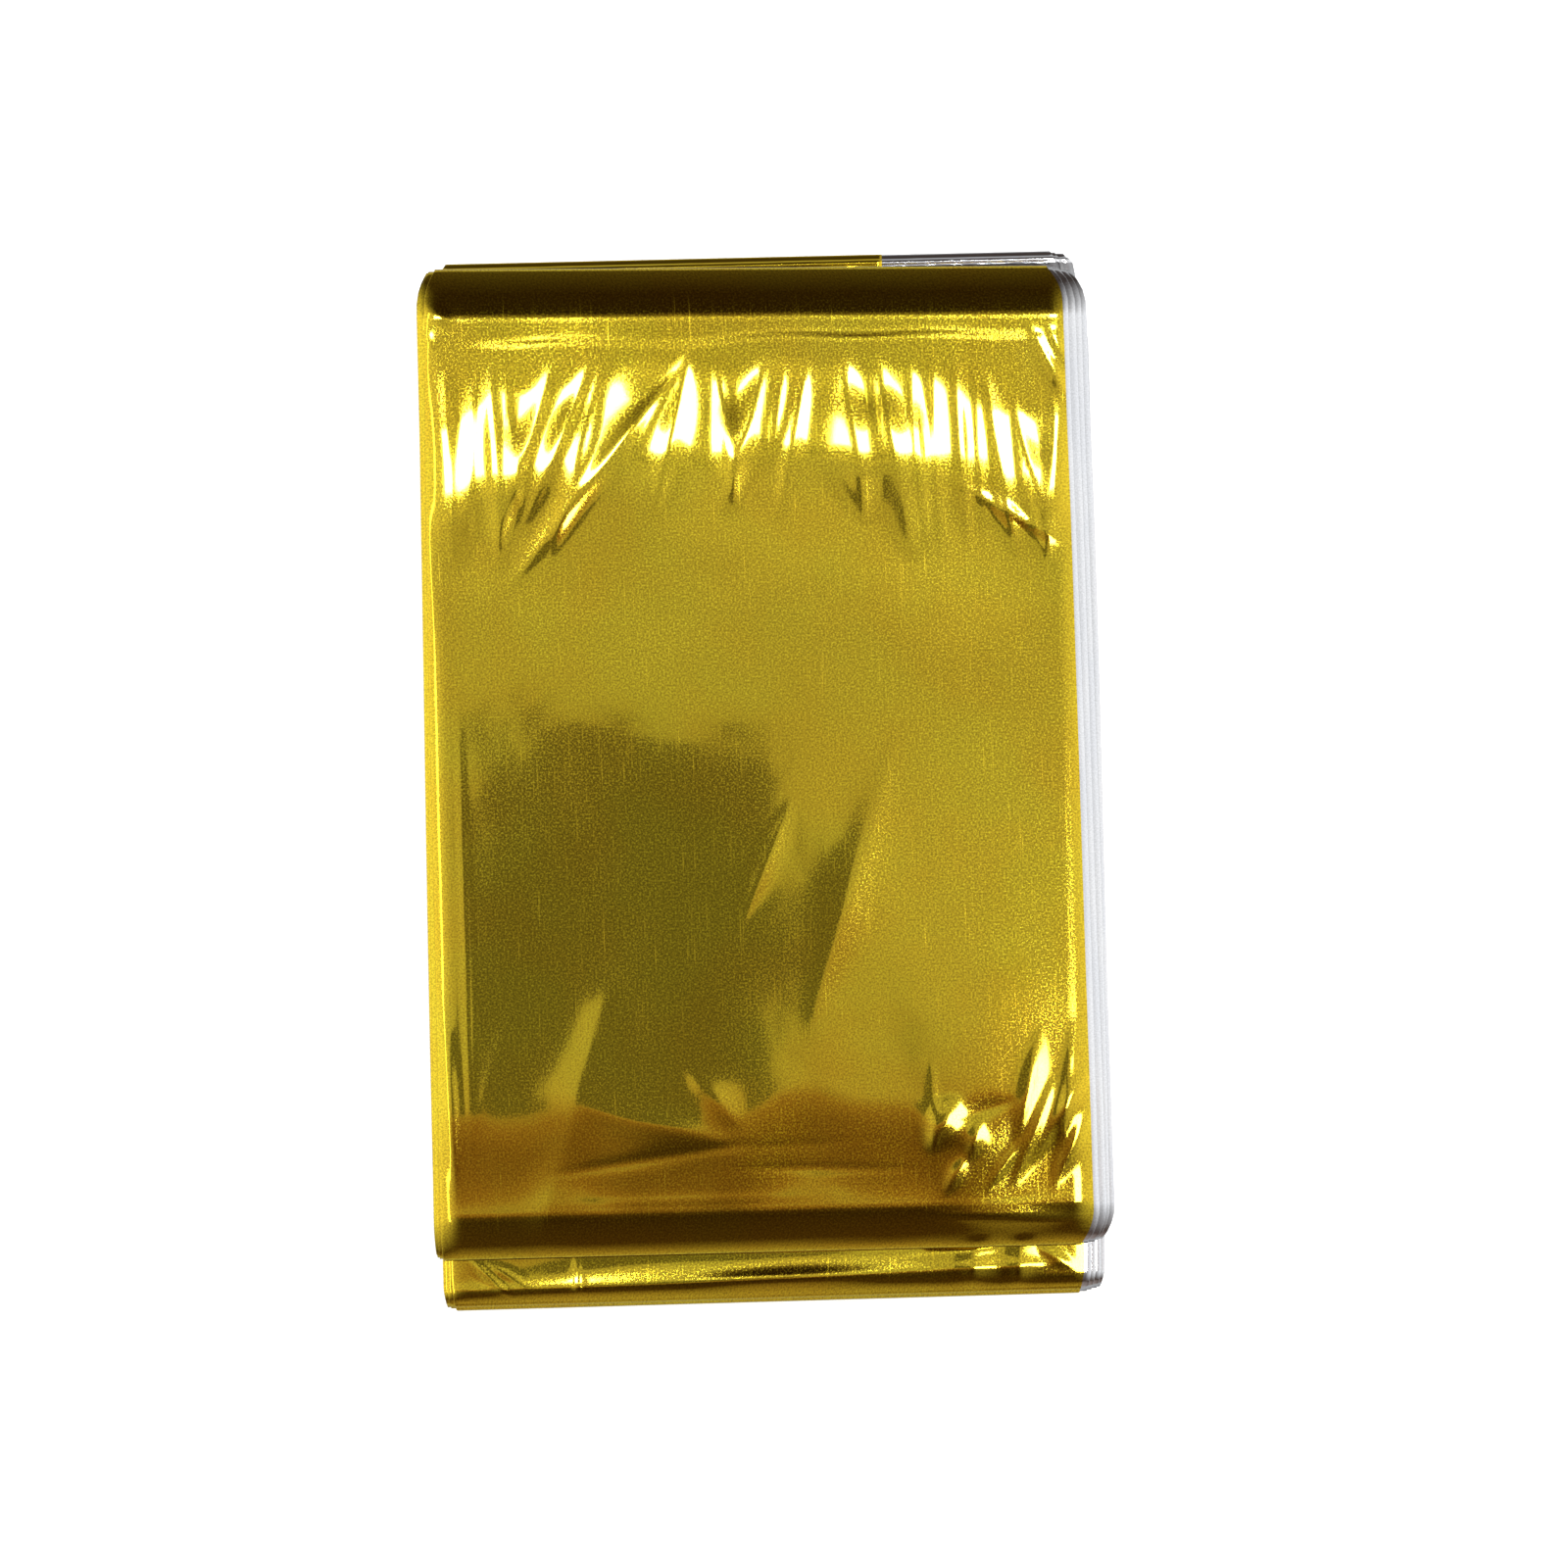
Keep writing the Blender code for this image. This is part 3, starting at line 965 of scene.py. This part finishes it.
def lay_on_strip(section_x, section_h, left_path, right_path, creased):
    """Carries a section's (x, h) points along the folded strip. Rows run along it."""
    strip_left = left_path[:, 0][:, None]
    strip_right = left_path[:, 1][:, None]
    share = np.clip((section_x - strip_left) / (strip_right - strip_left), 0.0, 1.0)[:, :, None]
    middle = between(left_path[:, None, 2:4], right_path[:, None, 2:4], share)
    normal = between(row_normals(left_path)[:, None], row_normals(right_path)[:, None], share)
    nested = left_path[:, 4] * np.sin(row_lengths(left_path) * 2 * math.pi / RIPPLE_LENGTH)
    placed = middle + normal * (section_h + RIPPLE_HEIGHT * nested[:, None])[:, :, None]
    x, y, z = section_x, placed[:, :, 0], placed[:, :, 1]
    lift = broad_relief(x, y) * share_of_height(z)
    if creased:
        lift += crease_relief(x, y, z)
    return np.stack((x, y, z + lift), axis=2)


# %% Sheet on the strip
def grid_object(name, points, flat_x, flat_y):
    """A mesh of quads from rows of points in millimetres, with the flat cut as its UV map."""
    rows, columns = points.shape[:2]
    index = np.arange(rows * columns).reshape(rows, columns)
    corners = (index[:-1, :-1], index[:-1, 1:], index[1:, 1:], index[1:, :-1])
    faces = np.stack([corner.ravel() for corner in corners], axis=1)
    mesh = bpy.data.meshes.new(name)
    mesh.from_pydata((points.reshape(-1, 3) * MM).tolist(), [], faces.tolist())
    layer = mesh.uv_layers.new(name="flat_cut")
    flat = np.stack((flat_x.ravel(), flat_y.ravel()), axis=1)[faces.ravel()] * MM
    layer.data.foreach_set("uv", flat.astype(np.float32).ravel())
    mesh.shade_smooth()
    mesh.update()
    piece = bpy.data.objects.new(name, mesh)
    bpy.context.scene.collection.objects.link(piece)
    return piece


def film_sheet(name, section_x, heights, left_path, right_path, creased=False):
    """Lays a sheet on the strip. Gives its object and how far across the cut each point is."""
    section_h = np.repeat(np.asarray(heights)[None, :], len(section_x), axis=0)
    points = lay_on_strip(section_x, section_h, left_path, right_path, creased)
    steps = np.hypot(np.diff(section_x, axis=1), np.diff(section_h, axis=1))
    flat_x = np.concatenate((np.zeros((len(section_x), 1)), np.cumsum(steps, axis=1)), axis=1)
    flat_y = np.repeat(row_lengths(left_path)[:, None], section_x.shape[1], axis=1)
    return grid_object(name, points, flat_x, flat_y), flat_x


# %% [markdown]
# ## The outermost ply
#
# This is the gold face that the photograph shows. It is a fine grid, because its reflections
# show every dent in it, and it runs over the whole strip from the cut edge on the right to
# its fold on the left, where its last part turns under.

# %% Sizes of the outer ply
# How many columns it has across and round its fold, and how far in those under the fold lie
FACE_COLUMNS = 188
TURN_STEPS = 6
UNDER_STOPS = (0.6, 1.4)
# How many parts each panel and each half of an end fold is cut into
FACE_ALONG = {"face": 240, "shown": 20, "other": 14}
FACE_STEPS = {"back_bottom": 26, "inner_top": 6, "inner_bottom": 6, "other": 14}
# How the fold and the cut edge drift. The cut edge is straighter.
FOLD_PHASE = 0.4
CUT_PHASE = 1.7
CUT_DRIFT = 0.4
print("outer ply has", FACE_COLUMNS + TURN_STEPS + len(UNDER_STOPS), "columns")

# %% Outer ply
outer_left = strip_path(0.0, FACE_ALONG, FACE_STEPS)
outer_right = strip_path(1.0, FACE_ALONG, FACE_STEPS)
outer_length = row_lengths(outer_left)
fold_edge = (outer_left[:, 0] + LEFT_SHORT[0] + drift(outer_length, FOLD_PHASE))[:, None]
cut_edge = (outer_left[:, 1] - CUT_IN + drift(outer_length, CUT_PHASE) * CUT_DRIFT)[:, None]
half_gap = (OUTER_H - SECOND_H) / 2
across_share = np.linspace(0.0, 1.0, FACE_COLUMNS)[None, :]
top_x = between(cut_edge, fold_edge + half_gap, across_share)
turn = np.linspace(0.0, math.pi, TURN_STEPS + 1)[1:]
turn_x = fold_edge + half_gap * (1.0 - np.sin(turn))[None, :]
turn_h = (OUTER_H + SECOND_H) / 2 + half_gap * np.cos(turn)
under_x = fold_edge + np.array(UNDER_STOPS)[None, :]
film_face, face_across = film_sheet(
    "film_face",
    np.concatenate((top_x, turn_x, under_x), axis=1),
    np.concatenate((np.full(FACE_COLUMNS, OUTER_H), turn_h, (SECOND_H, SECOND_H))),
    outer_left,
    outer_right,
    creased=True,
)
film_face.data.materials.append(gold_film)
FACE_FLAT = (float(face_across.max()), float(outer_length[-1]))
print("outer ply", len(film_face.data.polygons), "faces, cut", [round(v) for v in FACE_FLAT], "mm")

# %% [markdown]
# ## The plies under it
#
# The other 13 plies are one zigzag sheet. It shows along the long sides and at the open ends, so
# its grid is coarser, with more columns near the edges, where the plies droop. The second ply
# has many more across, because straight runs between few columns would cut through the outer
# ply where it swells. Solidify gives the film two sides, and its second material makes the back
# silver.

# %% Sizes of the pleats
PLEAT_ALONG = {"face": 44, "other": 12}
PLEAT_STEPS = {"back_top": 18, "back_bottom": 10, "other": 6}
# How many parts the second ply and the others have across, and a fold has round it
SECOND_PARTS = 15
OTHER_PARTS = 4
FOLD_STEPS = 3
# Extra columns this far from each fold
EDGE_STOPS = (2.6, 1.3, 0.5)
# How the folds' drift differs from pleat to pleat
LEFT_PHASE = 0.7
RIGHT_PHASE = 1.1


def ply_end(ply, path, length):
    """Where a ply ends at each row: at a right fold, a left fold or the film's inner end."""
    if ply == PLIES:
        return np.full(len(path), LAST_PLY_END)
    if ply % 2 == 0:
        pair = ply // 2
        return path[:, 1] - RIGHT_SHORT[pair - 1] + drift(length, RIGHT_PHASE * pair)
    pair = (ply + 1) // 2
    return path[:, 0] + LEFT_SHORT[pair - 1] + drift(length, LEFT_PHASE * pair)


def ply_columns(ply, start_x, end_x, inward):
    """The columns of a ply from its start to just before its end."""
    count = SECOND_PARTS if ply == 2 else OTHER_PARTS
    columns = [start_x]
    columns += [start_x - inward * stop for stop in EDGE_STOPS[::-1]]
    columns += [between(start_x, end_x, part / count) for part in range(1, count)]
    columns += [end_x + inward * stop for stop in EDGE_STOPS]
    return columns


print("the second ply has", SECOND_PARTS, "parts across and each of the others", OTHER_PARTS)

# %% Pleated plies
pleat_left = strip_path(0.0, PLEAT_ALONG, PLEAT_STEPS)
pleat_right = strip_path(1.0, PLEAT_ALONG, PLEAT_STEPS)
pleat_length = row_lengths(pleat_left)
turn = np.linspace(0.0, math.pi, FOLD_STEPS + 1)[1:-1]
columns_x = []
columns_h = []
start_x = pleat_left[:, 0] + LEFT_SHORT[0] + UNDER_STOPS[0]
for ply in range(2, PLIES + 1):
    inward = -1.0 if ply % 2 == 0 else 1.0
    end_x = ply_end(ply, pleat_left, pleat_length)
    columns = ply_columns(ply, start_x, end_x, inward)
    if ply < PLIES:
        half = (ply_h(ply) - ply_h(ply + 1)) / 2
        start_x = end_x + inward * half
        columns.append(start_x)
    else:
        columns.append(end_x)
    columns_x += columns
    columns_h += [ply_h(ply)] * len(columns)
    if ply < PLIES:
        columns_x += [end_x + inward * half * (1.0 - math.sin(angle)) for angle in turn]
        columns_h += [ply_h(ply) - half + half * math.cos(angle) for angle in turn]
film_pleats, pleats_across = film_sheet(
    "film_pleats", np.stack(columns_x, axis=1), columns_h, pleat_left, pleat_right
)
film_pleats.data.materials.append(gold_film)
film_pleats.data.materials.append(silver_film)
PLEATS_FLAT = (float(pleats_across.mean(axis=0).max()), float(pleat_length[-1]))
print(PLIES - 1, "plies under it,", len(film_pleats.data.polygons), "faces")
print("their cut is", [round(value) for value in PLEATS_FLAT], "mm")

# %% Thickness of the pleated film
FILM_THICKNESS = 0.012
bpy.ops.object.select_all(action="DESELECT")
film_pleats.select_set(True)
bpy.context.view_layer.objects.active = film_pleats
two_sides = film_pleats.modifiers.new("two_sides", "SOLIDIFY")
two_sides.thickness = FILM_THICKNESS * MM
two_sides.offset = -1.0
two_sides.material_offset = 1
two_sides.material_offset_rim = 1
bpy.ops.object.modifier_apply(modifier="two_sides")
print("pleats with two sides:", len(film_pleats.data.polygons), "faces")

# %% [markdown]
# ## Tie the film to the frame
#
# Both sheets stand for the one CAD solid, which is hidden, and both hang from the frame's root.
# Each has a flat size of its own, which is what the folds use up: the drawn layers, not the
# blanket's whole length.

# %% Film on the frame
for piece, flat in ((film_face, FACE_FLAT), (film_pleats, PLEATS_FLAT)):
    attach(piece, "root")
    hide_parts("foil_blanket")

# %% Plain view transform
bpy.context.scene.view_settings.view_transform = "Standard"
